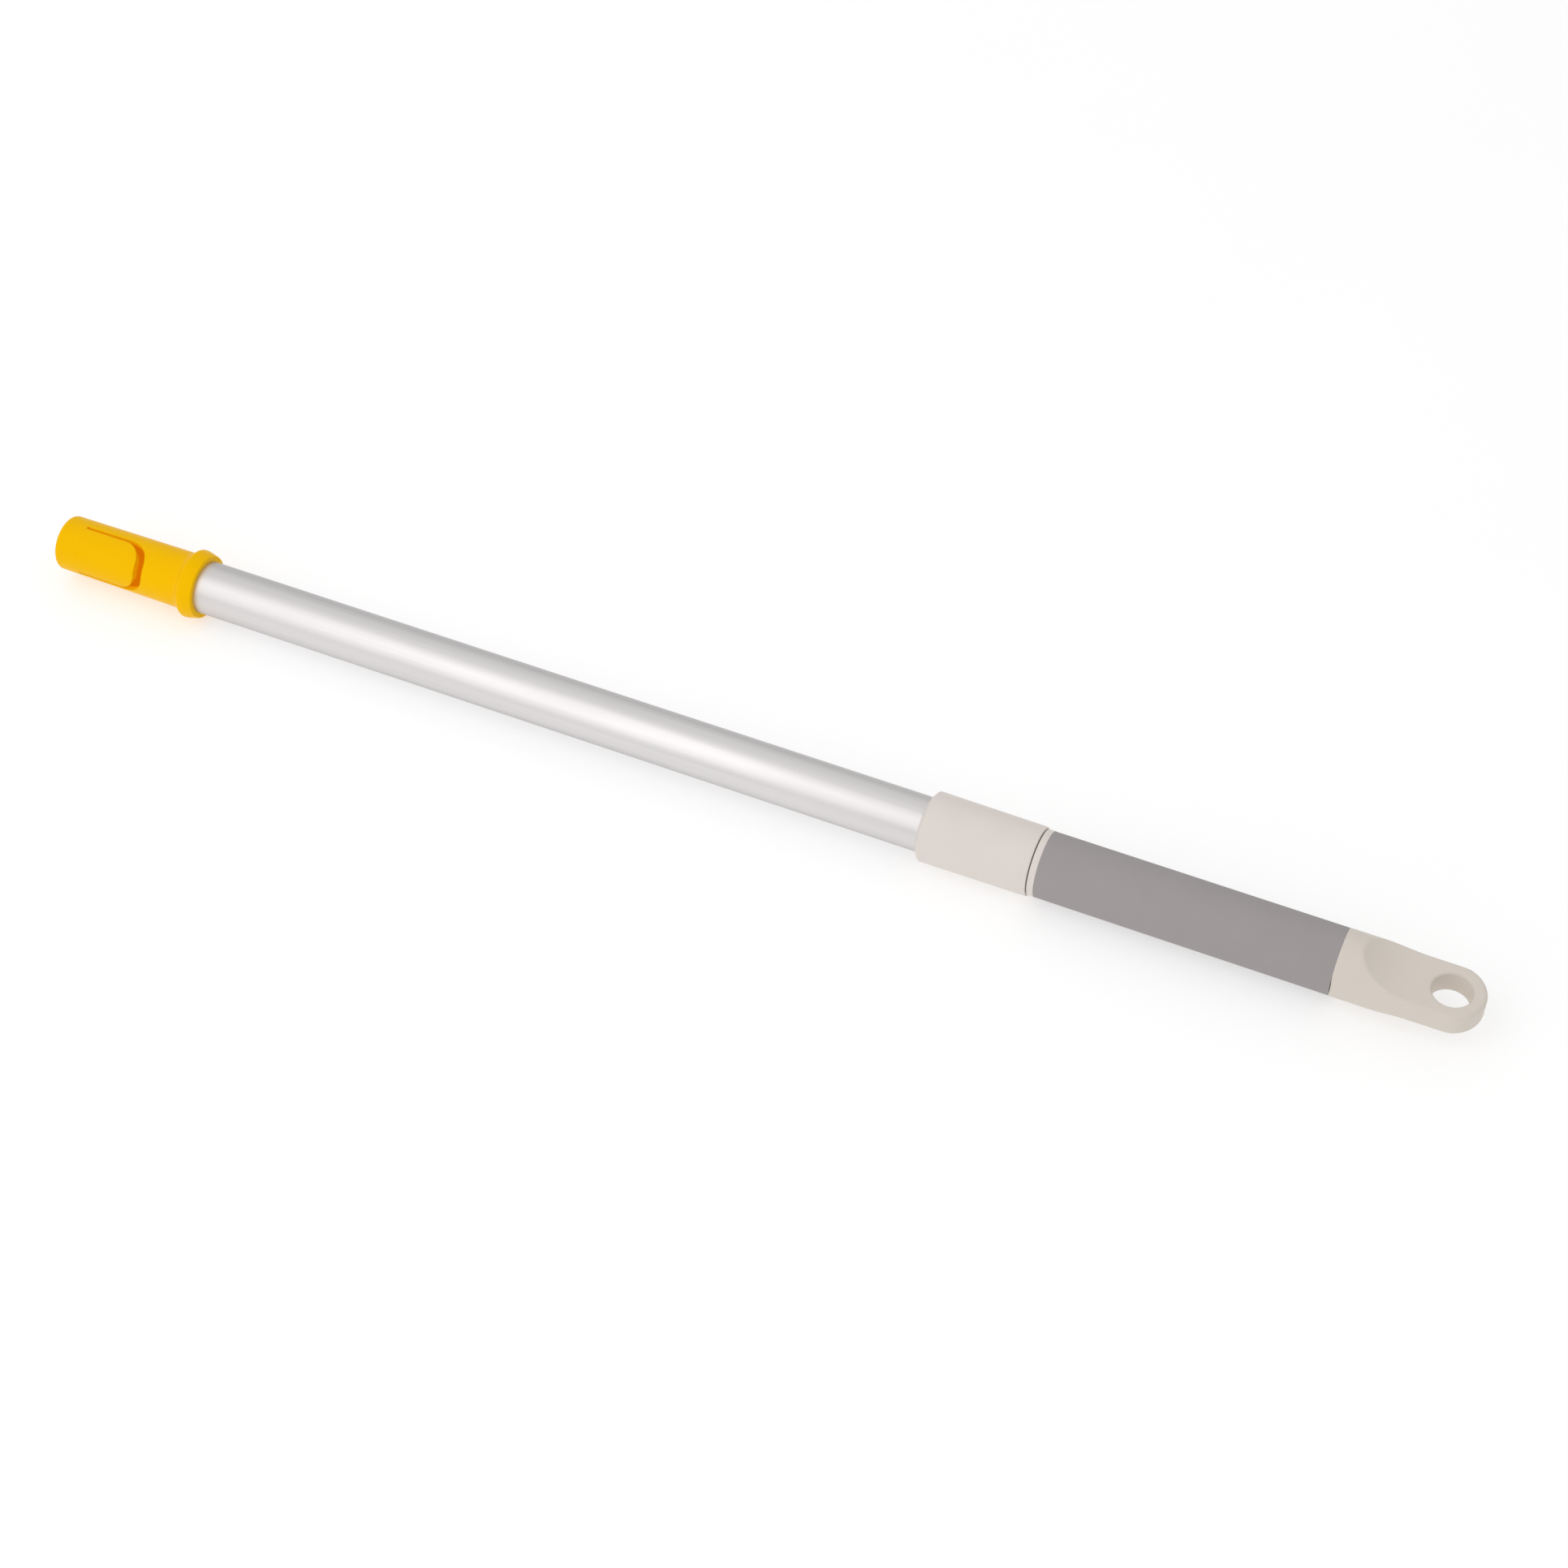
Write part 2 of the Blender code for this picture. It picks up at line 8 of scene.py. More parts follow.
import bpy
import numpy as np
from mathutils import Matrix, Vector


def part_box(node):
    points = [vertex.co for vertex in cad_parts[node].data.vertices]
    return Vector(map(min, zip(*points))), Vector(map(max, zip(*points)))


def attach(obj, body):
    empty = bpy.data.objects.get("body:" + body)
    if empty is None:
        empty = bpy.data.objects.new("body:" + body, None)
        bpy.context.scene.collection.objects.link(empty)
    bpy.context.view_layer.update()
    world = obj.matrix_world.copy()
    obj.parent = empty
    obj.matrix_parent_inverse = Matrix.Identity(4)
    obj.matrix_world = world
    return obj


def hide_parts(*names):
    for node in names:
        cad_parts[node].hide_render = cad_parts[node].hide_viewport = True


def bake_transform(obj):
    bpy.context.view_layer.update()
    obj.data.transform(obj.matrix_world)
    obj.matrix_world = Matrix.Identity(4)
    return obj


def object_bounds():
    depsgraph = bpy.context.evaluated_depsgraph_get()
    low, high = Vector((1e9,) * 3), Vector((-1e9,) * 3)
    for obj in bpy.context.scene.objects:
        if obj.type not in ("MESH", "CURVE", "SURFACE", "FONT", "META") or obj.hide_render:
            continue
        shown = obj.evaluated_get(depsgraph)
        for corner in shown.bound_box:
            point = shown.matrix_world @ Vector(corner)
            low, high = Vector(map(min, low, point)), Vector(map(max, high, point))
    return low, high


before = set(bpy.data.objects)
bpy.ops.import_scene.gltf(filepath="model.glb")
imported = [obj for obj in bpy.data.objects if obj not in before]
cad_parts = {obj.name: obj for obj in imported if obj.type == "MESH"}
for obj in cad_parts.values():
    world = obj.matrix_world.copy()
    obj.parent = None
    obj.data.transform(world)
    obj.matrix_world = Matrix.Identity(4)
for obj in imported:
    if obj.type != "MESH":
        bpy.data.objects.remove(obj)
CAD_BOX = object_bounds()

MM = 0.001
CAD_FACETS = 48
ROUND_SEGMENTS = 192
SHARP_ANGLE = math.radians(40.0)

# Camera: the direction it looks from, its distance from the aim point and its lens
CAMERA_AZIMUTH = math.radians(23.93)
CAMERA_ELEVATION = math.radians(48.3)
CAMERA_DISTANCE = 1.342
CAMERA_LENS_MM = 69.9
CAMERA_SENSOR_MM = 36.0
AIM_PAST_MIDDLE = 26.85 * MM
AIM_BELOW_AXIS = 2.67 * MM

# Light: a softbox in front and above, in a white tent, over a table that glows a little
KEY_ELEVATION = math.radians(46.0)
KEY_DISTANCE = 1.6
KEY_PAST_MIDDLE = -0.8
KEY_SIZE = (1.6, 2.4)
KEY_POWER = 10
TENT_HORIZON = 0.38
TENT_FULL_HEIGHT = 0.6
TENT_OVERHEAD = 0.86
FLOOR_SIZE = 12.0
FLOOR_GLOW = 0.5

# Connector
TIP_ROUND = 1.8 * MM
TIP_WALL = 3.0 * MM
PLUG_TIP_R = 13.0 * MM
PLUG_ROOT_R = 13.5 * MM
PLUG_BORE_R = 11.0 * MM
PLUG_BORE_END = 60.0 * MM
FLANGE_START = 66.0 * MM
FLANGE_RAMP = 3.1 * MM
FLANGE_CROWN_END = 70.2 * MM
FLANGE_END = 75.6 * MM
FLANGE_R = 16.6 * MM
FLANGE_BACK_R = 15.0 * MM
FLANGE_CROWN_ROUND = 0.8 * MM
FLANGE_BACK_ROUND = 0.2 * MM
FLANGE_ROOT_FILLET = 1.0 * MM
RECESS_START = 68.7 * MM
RECESS_R = 12.54 * MM
RECESS_EDGE = 0.08 * MM
SPIGOT_BORE_R = 8.8 * MM
SPIGOT_ROUND = 0.8 * MM
HIDDEN_OVERLAP = 1.0 * MM

# Latch tongue and its slot
LATCH_ANGLE = math.radians(144.0)
SLOT_START = 12.0 * MM
SLOT_END = 47.7 * MM
SLOT_HALF_ANGLE = math.radians(60.9)
SLOT_CORNER = 11.5 * MM
TONGUE_END = 43.4 * MM
TONGUE_HALF_ANGLE = math.radians(54.9)
TONGUE_CORNER = 10.0 * MM
TONGUE_LIP = 3.5 * MM
TONGUE_LIP_R = 9.0 * MM
TONGUE_SEAM = 0.02 * MM
TONGUE_WALL_EDGE = 0.175 * MM
LATCH_EDGE = 0.35 * MM
LATCH_EDGE_GROWTH = 2.0 * MM
LATCH_EDGE_LEAST = 0.00035 * MM

# Twist lock
COLLAR_CHAMFER = 1.85 * MM
COLLAR_CHAMFER_DEPTH = 2.75 * MM
COLLAR_TAPER = 0.35 * MM
COLLAR_CHAMFER_CORNER = 1.0 * MM
COLLAR_BACK_CORNER = 0.5 * MM
COLLAR_EDGE = 0.125 * MM
COLLAR_LIP_BORE_R = 12.65 * MM
COLLAR_LIP = 3.5 * MM
COLLAR_BORE_R = 14.2 * MM

# Handle
RING_LENGTH = 3.1 * MM
RING_CORNER = 0.35 * MM
SEAM_CORNER = 0.1 * MM
CORE_R = 13.1 * MM
CORE_BORE_R = 10.3 * MM
GRIP_BORE_R = 13.4 * MM
CAP_R = 15.0 * MM
CAP_START_FROM_END = 62.2 * MM
CAP_SPIGOT_R = 8.8 * MM
PADDLE_HALF_THICKNESS = 5.8 * MM
SCOOP_R = 40.0 * MM
SCOOP_END_FROM_END = 28.0 * MM
SCOOP_EDGE = 0.5 * MM
PADDLE_END_R = 14.9 * MM
PADDLE_EDGE = 2.0 * MM
PADDLE_WIDTH_START = 15.2 * MM
PADDLE_TAPER_LENGTH = 33.1 * MM
HOLE_FROM_END = 14.5 * MM
HOLE_R = 8.65 * MM
HOLE_EDGE = 1.2 * MM

# Tubes
OUTER_WALL = 1.0 * MM
INNER_WALL = 0.9 * MM
TUBE_CORNER = 0.15 * MM

# Grids and fitting of the moulded surfaces
CONNECTOR_CELL = 0.42 * MM
TONGUE_CELL = 0.3 * MM
CAP_CELL = 0.42 * MM
GRID_MARGIN = 2.0
SLOPE_STEP = 0.02
CREASE_PULL = 0.02
LEAST_SLOPE = 0.2
LEAST_MOVE = 1e-12
NEWTON_STEPS = 2

# The range that nearly all of a noise texture's values lie in
NOISE_LOW = 0.3
NOISE_HIGH = 0.7

# Colours (linear), roughness and the depth of each surface's grain
YELLOW = (0.90, 0.50, 0.002)
YELLOW_ROUGHNESS = 0.36
YELLOW_GLOSS = (1.0, 0.62, 0.02, 1.0)
YELLOW_SPECULAR = 0.06
YELLOW_GRAIN = 0.0035 * MM
# Painted light: an orange emission on the yellow plastic inside the hollow plug and under the latch, in
# place of bounced light, fading out between these two radii
INSIDE_PAINTED_LIGHT = 0.14
INSIDE_PAINTED_LIGHT_COLOUR = (1.0, 0.5, 0.0, 1.0)
INSIDE_PAINTED_LIGHT_FULL_R = 11.5 * MM
INSIDE_PAINTED_LIGHT_EDGE_R = 12.5 * MM
# The cap's off-white: darker than the collar's, as painted shade for light that falls off towards the
# pole's end, and a little more yellow in tone
CAP_TONE_AND_SHADE = (0.685, 0.625, 0.56)
OFF_WHITE = (0.735, 0.675, 0.63)
OFF_WHITE_ROUGHNESS = 0.46
OFF_WHITE_SPECULAR = 0.2
OFF_WHITE_GRAIN = 0.0045 * MM
PLASTIC_TONE = 0.012
OUTER_TUBE_COLOUR = (0.735, 0.712, 0.71)
OUTER_TUBE_ROUGHNESS = 0.45
INNER_TUBE_COLOUR = (0.73, 0.70, 0.70)
INNER_TUBE_ROUGHNESS = 0.3
ANODISED_EDGE = (0.6, 0.6, 0.61, 1.0)
GRIP_COLOUR = (0.35, 0.323, 0.323)
GRIP_ROUGHNESS = 0.75
DARK = (0.035, 0.035, 0.038)
NATURAL = (0.62, 0.60, 0.53)
STEEL = (0.55, 0.55, 0.56)
FLOOR_COLOUR = (0.55, 0.55, 0.55)


def node_centre(node):
    low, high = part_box(node)
    return (low + high) / 2.0


def turned_radius(node):
    """The true radius of a round CAD node, whose facets lie flat against its box."""
    low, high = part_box(node)
    return (high.y - low.y) / 2.0 / math.cos(math.pi / CAD_FACETS)


AXIS_Z = node_centre("outer_tube").z
TIP_X = CAD_BOX[0].x
END_X = CAD_BOX[1].x


# ---------------------------------------------------------------- turned surfaces


def corner(at, before, after, radius, steps=6):
    """Points of a fillet at a profile's corner, between the points before and after it."""
    point, first, last = Vector(at), Vector(before), Vector(after)
    in_dir = (first - point).normalized()
    out_dir = (last - point).normalized()
    half = in_dir.angle(out_dir) / 2.0
    reach = radius / math.tan(half)
    centre = point + (in_dir + out_dir).normalized() * (radius / math.sin(half))
    start = point + in_dir * reach - centre
    end = point + out_dir * reach - centre
    turn = start.angle_signed(end)
    points = []
    for i in range(steps + 1):
        angle = -turn * i / steps
        cos_a, sin_a = math.cos(angle), math.sin(angle)
        points.append(
            (
                centre.x + start.x * cos_a - start.y * sin_a,
                centre.y + start.x * sin_a + start.y * cos_a,
            )
        )
    return points


def rounded_profile(points):
    """A closed profile of (x, radius, fillet) points as plain (x, radius) points."""
    made = []
    for i, (x, r, fillet) in enumerate(points):
        if fillet == 0.0:
            made.append((x, r))
            continue
        before = points[i - 1][:2]
        after = points[(i + 1) % len(points)][:2]
        made.extend(corner((x, r), before, after, fillet))
    return made


def turned_piece(name, profile):
    """A ring-shaped solid turned about the pole's axis from a closed (x, radius, fillet) profile.

    The outer side of the profile runs from high x to low x.
    """
    points = np.array(rounded_profile(profile))
    step = np.arange(ROUND_SEGMENTS)[:, None]
    angles = step * (2.0 * math.pi / ROUND_SEGMENTS)
    x = np.repeat(points[:, 0][None, :], ROUND_SEGMENTS, axis=0)
    y = points[:, 1][None, :] * np.cos(angles)
    z = points[:, 1][None, :] * np.sin(angles) + AXIS_Z
    vertices = np.stack([x, y, z], axis=-1).reshape(-1, 3)
    count = len(points)
    ring = step * count
    next_ring = (step + 1) % ROUND_SEGMENTS * count
    here = np.arange(count)[None, :]
    there = (here + 1) % count
    faces = np.stack([ring + here, ring + there, next_ring + there, next_ring + here], axis=-1)
    return mesh_piece(name, vertices, faces.reshape(-1, 4))


def mesh_piece(name, vertices, faces):
    mesh = bpy.data.meshes.new(name)
    mesh.from_pydata(vertices.tolist(), [], faces.tolist())
    mesh.validate()
    mesh.shade_smooth()
    mesh.set_sharp_from_angle(angle=SHARP_ANGLE)
    obj = bpy.data.objects.new(name, mesh)
    bpy.context.scene.collection.objects.link(obj)
    return obj


def tube_piece(name, node, wall):
    low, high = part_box(node)
    radius = turned_radius(node)
    bore = radius - wall
    return turned_piece(
        name,
        [
            (high.x, bore, TUBE_CORNER),
            (high.x, radius, TUBE_CORNER),
            (low.x, radius, TUBE_CORNER),
            (low.x, bore, TUBE_CORNER),
        ],
    )


# ---------------------------------------------------------------- moulded surfaces


def meet(a, b, radius):
    """Where two solids' distances overlap, with the edge between them rounded."""
    return np.minimum(-radius, np.maximum(a, b)) + np.hypot(
        np.maximum(a + radius, 0.0), np.maximum(b + radius, 0.0)
    )


def join(a, b, radius):
    """Two solids joined, with a fillet in the corner between them."""
    return -meet(-a, -b, radius)


def moulded_piece(name, distance, low, high, cell):
    """The surface where distance(x, y, z) is zero, with one point in each grid cell that it crosses."""
    low = np.array(low)
    counts = np.ceil((np.array(high) - low) / cell).astype(int) + 1
    axes = [low[i] + np.arange(counts[i]) * cell for i in range(3)]
    values = distance(
        axes[0][:, None, None], axes[1][None, :, None], axes[2][None, None, :]
    )
    values = np.broadcast_to(values, counts)
    cells, number = crossed_cells(values < 0.0)
    points = fitted_points(distance, values, cells, low, cell)
    for _ in range(NEWTON_STEPS):
        points = step_to_surface(distance, points, cell)
    return mesh_piece(name, points, net_faces(values < 0.0, number))


CELL_CORNERS = [(i, j, k) for i in (0, 1) for j in (0, 1) for k in (0, 1)]


def crossed_cells(inside):
    """The grid cells with corners on both sides of the surface, and a grid of their numbers."""
    shape = tuple(n - 1 for n in inside.shape)
    corner_count = np.zeros(shape, np.int8)
    for i, j, k in CELL_CORNERS:
        corner_count += inside[i : i + shape[0], j : j + shape[1], k : k + shape[2]]
    mixed = (corner_count > 0) & (corner_count < len(CELL_CORNERS))
    cells = np.argwhere(mixed)
    number = np.full(shape, -1, np.int64)
    number[mixed] = np.arange(len(cells))
    return cells, number


def slope_at(distance, points, cell):
    """The distance at each point and its gradient."""
    small = cell * SLOPE_STEP
    slope = np.empty_like(points)
    for axis in range(3):
        shift = np.zeros(3)
        shift[axis] = small
        ahead = distance(*(points + shift).T)
        behind = distance(*(points - shift).T)
        slope[:, axis] = (ahead - behind) / (2.0 * small)
    return distance(*points.T), slope


def fitted_points(distance, values, cells, low, cell):
    """The point of each cell nearest to the tangent planes where its edges cross the surface.

    On a crease or a corner the planes meet in the sharp feature, so the mesh keeps it.
    """
    count = len(cells)
    total = np.zeros((count, 3))
    crossings = np.zeros(count)
    matrix = np.zeros((count, 3, 3))
    right = np.zeros((count, 3))
    for axis in range(3):
        along = np.eye(3, dtype=int)[axis]
        for start in (c for c in CELL_CORNERS if c[axis] == 0):
            first = cells + np.array(start)
            a = values[tuple(first.T)]
            b = values[tuple((first + along).T)]
            cut = (a < 0.0) != (b < 0.0)
            share = a[cut] / (a[cut] - b[cut])
            at = low + (first[cut] + share[:, None] * along) * cell
            value, slope = slope_at(distance, at, cell)
            steepness = np.maximum(np.linalg.norm(slope, axis=1), LEAST_SLOPE)
            normal = slope / steepness[:, None]
            offset = (normal * at).sum(axis=1) - value / steepness
            total[cut] += at
            crossings[cut] += 1.0
            matrix[cut] += normal[:, :, None] * normal[:, None, :]
            right[cut] += normal * offset[:, None]
    middle = total / crossings[:, None]
    right -= (matrix @ middle[:, :, None])[:, :, 0]
    matrix += CREASE_PULL * np.eye(3)
    move = np.linalg.solve(matrix, right[:, :, None])[:, :, 0]
    return middle + np.clip(move, -cell, cell)


def step_to_surface(distance, points, cell):
    """One Newton step of each point towards the surface, no longer than a cell."""
    value, slope = slope_at(distance, points, cell)
    steep = np.maximum((slope**2).sum(axis=1), LEAST_SLOPE**2)
    move = -slope * (value / steep)[:, None]
    length = np.maximum(np.linalg.norm(move, axis=1), LEAST_MOVE)
    return points + move * np.minimum(1.0, cell / length)[:, None]


def net_faces(inside, number):
    """One quad for each grid edge that the surface crosses, facing out."""
    faces = []
    for axis in range(3):
        side = [(axis + 1) % 3, (axis + 2) % 3]
        low = [slice(0, n) for n in inside.shape]
        high = list(low)
        low[axis] = slice(0, inside.shape[axis] - 1)
        high[axis] = slice(1, inside.shape[axis])
        change = inside[tuple(low)].astype(np.int8) - inside[tuple(high)].astype(np.int8)
        edges = np.argwhere(change != 0)
        keep = np.ones(len(edges), bool)
        for s in side:
            keep &= (edges[:, s] > 0) & (edges[:, s] < inside.shape[s] - 1)
        edges = edges[keep]
        u = np.eye(3, dtype=int)[side[0]]
        v = np.eye(3, dtype=int)[side[1]]
        around = [edges - u - v, edges - v, edges, edges - u]
        quad = np.stack([number[tuple(c.T)] for c in around], axis=1)
        outward = change[tuple(edges.T)] > 0
        faces.append(np.where(outward[:, None], quad, quad[:, ::-1]))
    return np.concatenate(faces)


def plug_surface(s, rho):
    """Distance outside the connector's slightly tapered plug."""
    slope = (PLUG_ROOT_R - PLUG_TIP_R) / FLANGE_START
    return (rho - PLUG_TIP_R - slope * s) / math.hypot(1.0, slope)


def latch_area(s, angle, start, end, half_angle, round_corner):
    """Distance outside the latch's outline on the plug, square at the root and rounded at its end."""
    half_width = half_angle * PLUG_ROOT_R
    across = np.abs(angle) * PLUG_ROOT_R
    rounded = meet(s - end, across - half_width, round_corner)
    return np.maximum(rounded, start - s)


def polar(y, z):
    """Distance from the pole's axis, and the angle from the middle of the latch."""
    rho = np.hypot(y, z - AXIS_Z)
    angle = np.arctan2(z - AXIS_Z, y) - LATCH_ANGLE
    return rho, (angle + math.pi) % (2.0 * math.pi) - math.pi


def latch_edge(s):
    """The rounding along the latch's edges, which starts from nothing at the root."""
    grown = (s - SLOT_START) / LATCH_EDGE_GROWTH * LATCH_EDGE
    return np.clip(grown, LATCH_EDGE_LEAST, LATCH_EDGE)


def cone(s, rho, first, last):
    """Distance outside a cone through two (station, radius) points, in order from the tip."""
    run, rise = last[0] - first[0], last[1] - first[1]
    return ((rho - first[1]) * run - (s - first[0]) * rise) / math.hypot(run, rise)


def flange_distance(s, rho):
    """The flange: a steep front, a narrow crown and a back that falls away to a flat end."""
    ramp_end = FLANGE_START + FLANGE_RAMP
    front = cone(s, rho, (FLANGE_START, PLUG_ROOT_R), (ramp_end, FLANGE_R))
    back = cone(s, rho, (FLANGE_CROWN_END, FLANGE_R), (FLANGE_END, FLANGE_BACK_R))
    crown = meet(rho - FLANGE_R, front, FLANGE_CROWN_ROUND)
    crown = meet(crown, back, FLANGE_CROWN_ROUND)
    flange = meet(crown, s - FLANGE_END, FLANGE_BACK_ROUND)
    return np.maximum(flange, FLANGE_START - FLANGE_RAMP - s)


def connector_distance(x, y, z):
    s = x - TIP_X
    rho, angle = polar(y, z)
    plug = meet(plug_surface(s, rho), -s, TIP_ROUND)
    plug = np.maximum(plug, s - FLANGE_CROWN_END)
    body = join(plug, flange_distance(s, rho), FLANGE_ROOT_FILLET)
    recess = np.maximum(rho - RECESS_R, RECESS_START - s)
    body = meet(body, -recess, RECESS_EDGE)
    spigot_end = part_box("connector_body")[1].x - TIP_X
    spigot_r = turned_radius("guide_bush")
    spigot = meet(rho - spigot_r, s - spigot_end, SPIGOT_ROUND)
    body = np.minimum(body, np.maximum(spigot, RECESS_START - HIDDEN_OVERLAP - s))
    bore = meet(rho - PLUG_BORE_R, TIP_WALL - s, TIP_ROUND)
    bore = meet(bore, s - PLUG_BORE_END, TIP_ROUND)
    bore = np.minimum(bore, np.maximum(rho - SPIGOT_BORE_R, PLUG_BORE_END - TIP_ROUND - s))
    body = np.maximum(body, -bore)
    slot = latch_area(s, angle, SLOT_START, SLOT_END, SLOT_HALF_ANGLE, SLOT_CORNER)
    return meet(body, -slot, latch_edge(s))


def tongue_distance(x, y, z):
    s = x - TIP_X
    rho, angle = polar(y, z)
    outline = latch_area(
        s, angle, SLOT_START + TONGUE_SEAM, TONGUE_END, TONGUE_HALF_ANGLE, TONGUE_CORNER
    )
    lip_start = TONGUE_END - TONGUE_LIP
    lip_share = np.clip((s - lip_start + TONGUE_LIP) / TONGUE_LIP, 0.0, 1.0)
    inner = PLUG_BORE_R + (TONGUE_LIP_R - PLUG_BORE_R) * lip_share
    wall = meet(plug_surface(s, rho), inner - rho, TONGUE_WALL_EDGE)
    return meet(wall, outline, latch_edge(s))


def cap_distance(x, y, z):
    cap_start = END_X - CAP_START_FROM_END
    scoop_end = END_X - SCOOP_END_FROM_END
    hole_x = END_X - HOLE_FROM_END
    end_x = END_X - PADDLE_END_R
    height = np.abs(z - AXIS_Z)
    round_body = meet(np.hypot(y, z - AXIS_Z) - CAP_R, cap_start - x, SEAM_CORNER)
    arc = SCOOP_R - np.hypot(x - scoop_end, height - PADDLE_HALF_THICKNESS - SCOOP_R)
    flat = height - PADDLE_HALF_THICKNESS
    scoop = np.where(x < scoop_end, arc, flat)
    narrowing = (PADDLE_WIDTH_START - PADDLE_END_R) / PADDLE_TAPER_LENGTH
    side = np.abs(y) - PADDLE_END_R - narrowing * (end_x - x)
    rounded_end = np.hypot(x - end_x, y) - PADDLE_END_R
    plan = np.where(x < end_x, side, rounded_end)
    body = meet(round_body, scoop, SCOOP_EDGE)
    body = meet(body, plan, PADDLE_EDGE)
    hole = HOLE_R - np.hypot(x - hole_x, y)
    body = meet(body, hole, HOLE_EDGE)
    spigot = np.maximum(np.hypot(y, z - AXIS_Z) - CAP_SPIGOT_R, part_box("end_cap")[0].x - x)
    spigot = np.maximum(spigot, x - cap_start - HIDDEN_OVERLAP)
    return np.minimum(body, spigot)


# ---------------------------------------------------------------- materials


class Nodes:
    """A material with a Principled shader, and short calls for the nodes that feed it."""

    def __init__(self, name, colour, roughness, metallic=0.0, **sockets):
        self.material = bpy.data.materials.new(name)
        self.material.use_nodes = True
        self.tree = self.material.node_tree
        self.shader = self.tree.nodes["Principled BSDF"]
        self.shader.inputs["Base Color"].default_value = (*colour, 1.0)
        self.shader.inputs["Roughness"].default_value = roughness
        self.shader.inputs["Metallic"].default_value = metallic
        for socket, value in sockets.items():
            self.shader.inputs[socket.replace("_", " ")].default_value = value
        self.place = self.tree.nodes.new("ShaderNodeTexCoord").outputs["Object"]

    def add(self, kind, **settings):
        node = self.tree.nodes.new(kind)
        for key, value in settings.items():
            setattr(node, key, value)
        return node

    def link(self, source, target):
        self.tree.links.new(source, target)

    def stretched(self, scale):
        mapping = self.add("ShaderNodeMapping")
        mapping.inputs["Scale"].default_value = scale
        self.link(self.place, mapping.inputs["Vector"])
        return mapping.outputs["Vector"]

    def noise(self, scale, detail, stretch=None):
        node = self.add("ShaderNodeTexNoise")
        node.inputs["Scale"].default_value = scale
        node.inputs["Detail"].default_value = detail
        self.link(self.stretched(stretch) if stretch else self.place, node.inputs["Vector"])
        return node.outputs["Fac"]

    def spread(self, value, low, high, from_low=NOISE_LOW, from_high=NOISE_HIGH):
        """Maps a value from one range onto another, as a rule from a noise texture's usual range."""
        node = self.add("ShaderNodeMapRange")
        node.inputs["From Min"].default_value = from_low
        node.inputs["From Max"].default_value = from_high
        node.inputs["To Min"].default_value = low
        node.inputs["To Max"].default_value = high
        self.link(value, node.inputs["Value"])
        return node.outputs["Result"]

    def tint(self, value, dark, light):
        ramp = self.add("ShaderNodeValToRGB")
        ramp.color_ramp.elements[0].position = NOISE_LOW
        ramp.color_ramp.elements[1].position = NOISE_HIGH
        ramp.color_ramp.elements[0].color = (*dark, 1.0)
        ramp.color_ramp.elements[1].color = (*light, 1.0)
        self.link(value, ramp.inputs["Fac"])
        self.link(ramp.outputs["Color"], self.shader.inputs["Base Color"])

    def maths(self, operation, first, second=0.0):
        """A Math node on two values, each a socket or a number."""
        node = self.add("ShaderNodeMath", operation=operation)
        for socket, value in zip(node.inputs, (first, second)):
            if isinstance(value, float):
                socket.default_value = value
            else:
                self.link(value, socket)
        return node.outputs["Value"]

    def roughness(self, value, low, high):
        self.link(self.spread(value, low, high), self.shader.inputs["Roughness"])

    def bump(self, heights):
        """Chains (height, depth in metres) pairs into the shader's normal."""
        normal = None
        for height, depth in heights:
            node = self.add("ShaderNodeBump")
            node.inputs["Strength"].default_value = 1.0
            node.inputs["Distance"].default_value = depth
            self.link(height, node.inputs["Height"])
            if normal:
                self.link(normal, node.inputs["Normal"])
            normal = node.outputs["Normal"]
        self.link(normal, self.shader.inputs["Normal"])


def shades(colour, amount):
    """A slightly darker and a slightly lighter version of a colour."""
    dark = tuple(c * (1.0 - amount) for c in colour)
    light = tuple(min(1.0, c * (1.0 + amount)) for c in colour)
    return dark, light


def moulded_plastic(name, colour, roughness, grain, **sockets):
    """Injection-moulded plastic: a fine spark-eroded grain, slow flow marks and a slight tone drift."""
    made = Nodes(name, colour, roughness, **sockets)
    made.tint(made.noise(60.0, detail=4.0), *shades(colour, PLASTIC_TONE))
    made.roughness(made.noise(900.0, detail=2.0), roughness - 0.05, roughness + 0.06)
    fine = made.noise(5200.0, detail=2.0)
    flow = made.noise(140.0, detail=1.0)
    made.bump([(fine, grain), (flow, grain * 2.5)])
    return made


def off_white_plastic(name, colour):
    """The dull off-white plastic of the collar, the handle's ring and the cap; the cap's copy is
    darker, as painted shade, and a little more yellow in tone.
    """
    made = moulded_plastic(
        name,
        colour,
        OFF_WHITE_ROUGHNESS,
        OFF_WHITE_GRAIN,
        Specular_IOR_Level=OFF_WHITE_SPECULAR,
    )
    return made.material


